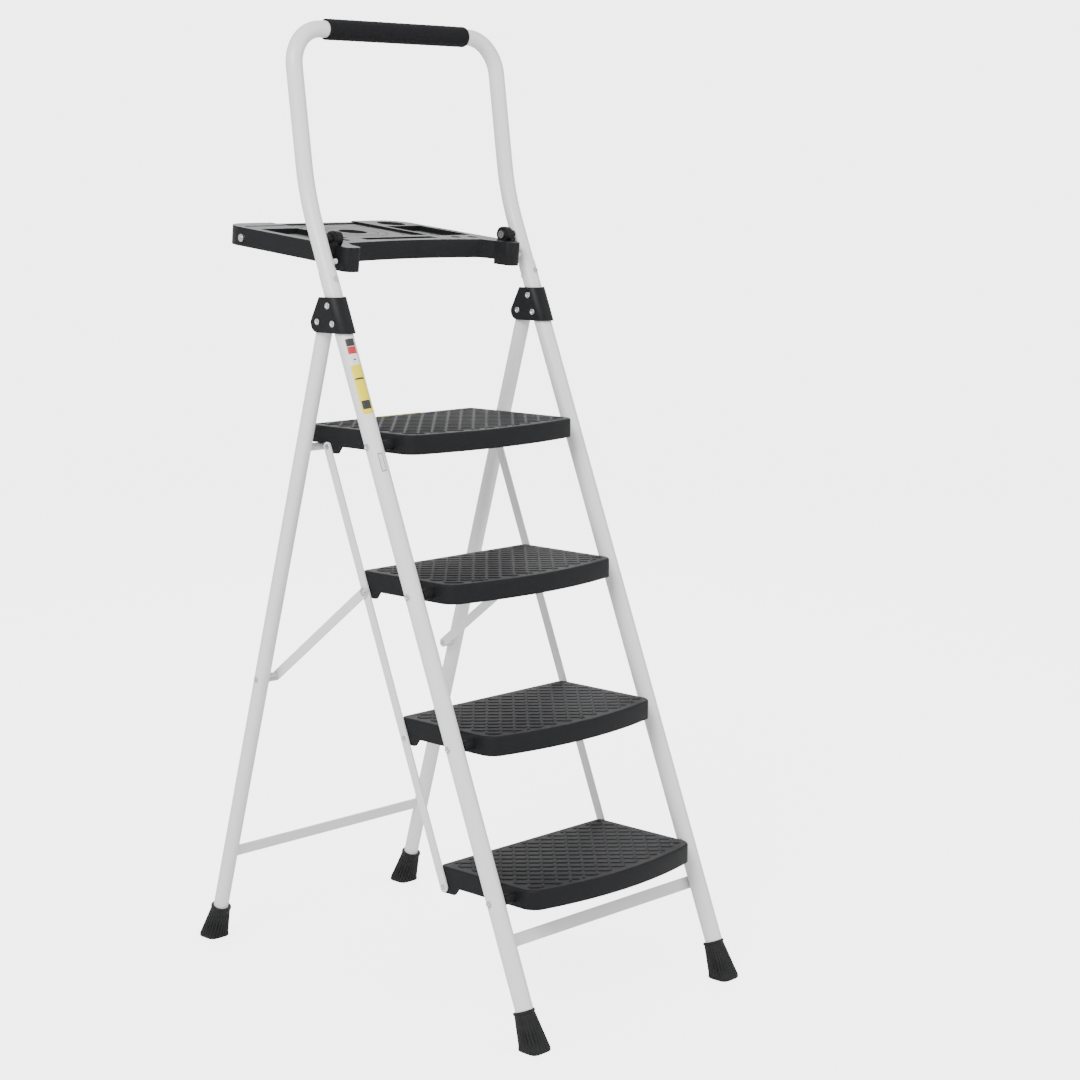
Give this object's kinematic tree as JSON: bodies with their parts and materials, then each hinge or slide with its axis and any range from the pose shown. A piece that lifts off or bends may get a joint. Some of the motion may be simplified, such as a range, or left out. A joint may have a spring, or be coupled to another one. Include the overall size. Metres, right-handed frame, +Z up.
{
  "type": "platform step ladder",
  "caption": "Folding step ladder with plastic steps, a wide top platform, a tubular handrail with a soft grip and a fold-up tool tray.",
  "frame": {"origin": "on the floor, in the middle of the footprint of the four feet", "axes": "+Z up, the user climbs from -Y looking towards +Y, +X is the user's right hand"},
  "size_m": [0.494, 0.8184, 1.562],
  "materials": {
    "painted_tube": "smooth white powder coat, satin",
    "painted_flat": "smooth white powder coat on flat bar, satin",
    "black_plastic": "fine textured moulded black plastic, slightly satin",
    "step_plastic": "moulded dark grey-black plastic with a raised tread pattern, satin crown",
    "foam_grip": "soft fine-celled black foam, matt",
    "rubber_feet": "matt black rubber",
    "zinc_steel": "bright zinc-plated steel, lightly turned",
    "white_plastic": "smooth white plastic"
  },
  "bodies": {
    "front_frame": {"rail_left": "painted_tube", "rail_right": "painted_tube", "handrail": "painted_tube", "handrail_grip": "foam_grip", "handrail_screws": "zinc_steel", "knuckle_left": "black_plastic", "knuckle_right": "black_plastic", "knuckle_rivets": "zinc_steel", "leg_pivot_rivets": "zinc_steel", "front_crossbar": "painted_flat", "front_foot_left": "rubber_feet", "front_foot_right": "rubber_feet", "step_pivot_rivets": "zinc_steel", "tray_pivot_screws": "zinc_steel", "tray_stop_studs": "white_plastic"},
    "rear_frame": {"rear_leg_left": "painted_tube", "rear_leg_right": "painted_tube", "rear_crossbar": "painted_flat", "latch_bar": "painted_tube", "brace_leg_rivets": "zinc_steel", "brace_spacers": "zinc_steel", "rear_foot_left": "rubber_feet", "rear_foot_right": "rubber_feet"},
    "step_1": {"step_1": "step_plastic"},
    "step_2": {"step_2": "step_plastic"},
    "step_3": {"step_3": "step_plastic"},
    "step_4": {"step_4": "step_plastic"},
    "tie_left": {"tie_bar_left": "painted_flat", "tie_rivets_left": "zinc_steel"},
    "tie_right": {"tie_bar_right": "painted_flat", "tie_rivets_right": "zinc_steel"},
    "brace_left": {"brace_link_left": "painted_flat", "brace_cap_left": "zinc_steel"},
    "brace_right": {"brace_link_right": "painted_flat", "brace_cap_right": "zinc_steel"},
    "tray": {"tool_tray": "black_plastic", "tray_side_studs": "zinc_steel"}
  },
  "joints": [
    {"name": "rear_frame_fold", "type": "hinge", "parent": "front_frame", "child": "rear_frame", "pos_m": [0, 0.07011, 1.08645], "axis": [-1, 0, 0], "range_deg": [0, 36.8]},
    {"name": "step_1_fold", "type": "hinge", "parent": "front_frame", "child": "step_1", "pos_m": [0, -0.30599, 0.215], "axis": [1, 0, 0], "range_deg": [0, 68.7]},
    {"name": "step_2_fold", "type": "hinge", "parent": "front_frame", "child": "step_2", "pos_m": [0, -0.21703, 0.442], "axis": [1, 0, 0], "range_deg": [0, 68.7]},
    {"name": "step_3_fold", "type": "hinge", "parent": "front_frame", "child": "step_3", "pos_m": [0, -0.12807, 0.669], "axis": [1, 0, 0], "range_deg": [0, 68.7]},
    {"name": "step_4_fold", "type": "hinge", "parent": "front_frame", "child": "step_4", "pos_m": [0, -0.03911, 0.896], "axis": [1, 0, 0], "range_deg": [0, 68.7]},
    {"name": "tie_left_pivot", "type": "hinge", "parent": "step_2", "child": "tie_left", "pos_m": [0, -0.06703, 0.426], "axis": [-1, 0, 0], "range_deg": [0, 68.7]},
    {"name": "brace_left_pivot", "type": "hinge", "parent": "rear_frame", "child": "brace_left", "pos_m": [0, 0.24601, 0.481], "axis": [-1, 0, 0], "range_deg": [0, 33.1]},
    {"name": "tie_right_pivot", "type": "hinge", "parent": "step_2", "child": "tie_right", "pos_m": [0, -0.06703, 0.426], "axis": [-1, 0, 0], "range_deg": [0, 68.7]},
    {"name": "brace_right_pivot", "type": "hinge", "parent": "rear_frame", "child": "brace_right", "pos_m": [0, 0.24601, 0.481], "axis": [-1, 0, 0], "range_deg": [0, 33.1]},
    {"name": "tray_fold", "type": "hinge", "parent": "front_frame", "child": "tray", "pos_m": [0, 0.0859, 1.215], "axis": [1, 0, 0], "range_deg": [0, 78]}
  ],
  "couplings": [
    {"joint": "step_1_fold", "follows": "rear_frame_fold", "ratio": 1.8245},
    {"joint": "step_2_fold", "follows": "rear_frame_fold", "ratio": 1.8245},
    {"joint": "step_3_fold", "follows": "rear_frame_fold", "ratio": 1.8245},
    {"joint": "step_4_fold", "follows": "rear_frame_fold", "ratio": 1.8245},
    {"joint": "tie_left_pivot", "follows": "rear_frame_fold", "ratio": 1.8245},
    {"joint": "brace_left_pivot", "follows": "rear_frame_fold", "ratio": 0.87766},
    {"joint": "tie_right_pivot", "follows": "rear_frame_fold", "ratio": 1.8245},
    {"joint": "brace_right_pivot", "follows": "rear_frame_fold", "ratio": 0.87766}
  ]
}
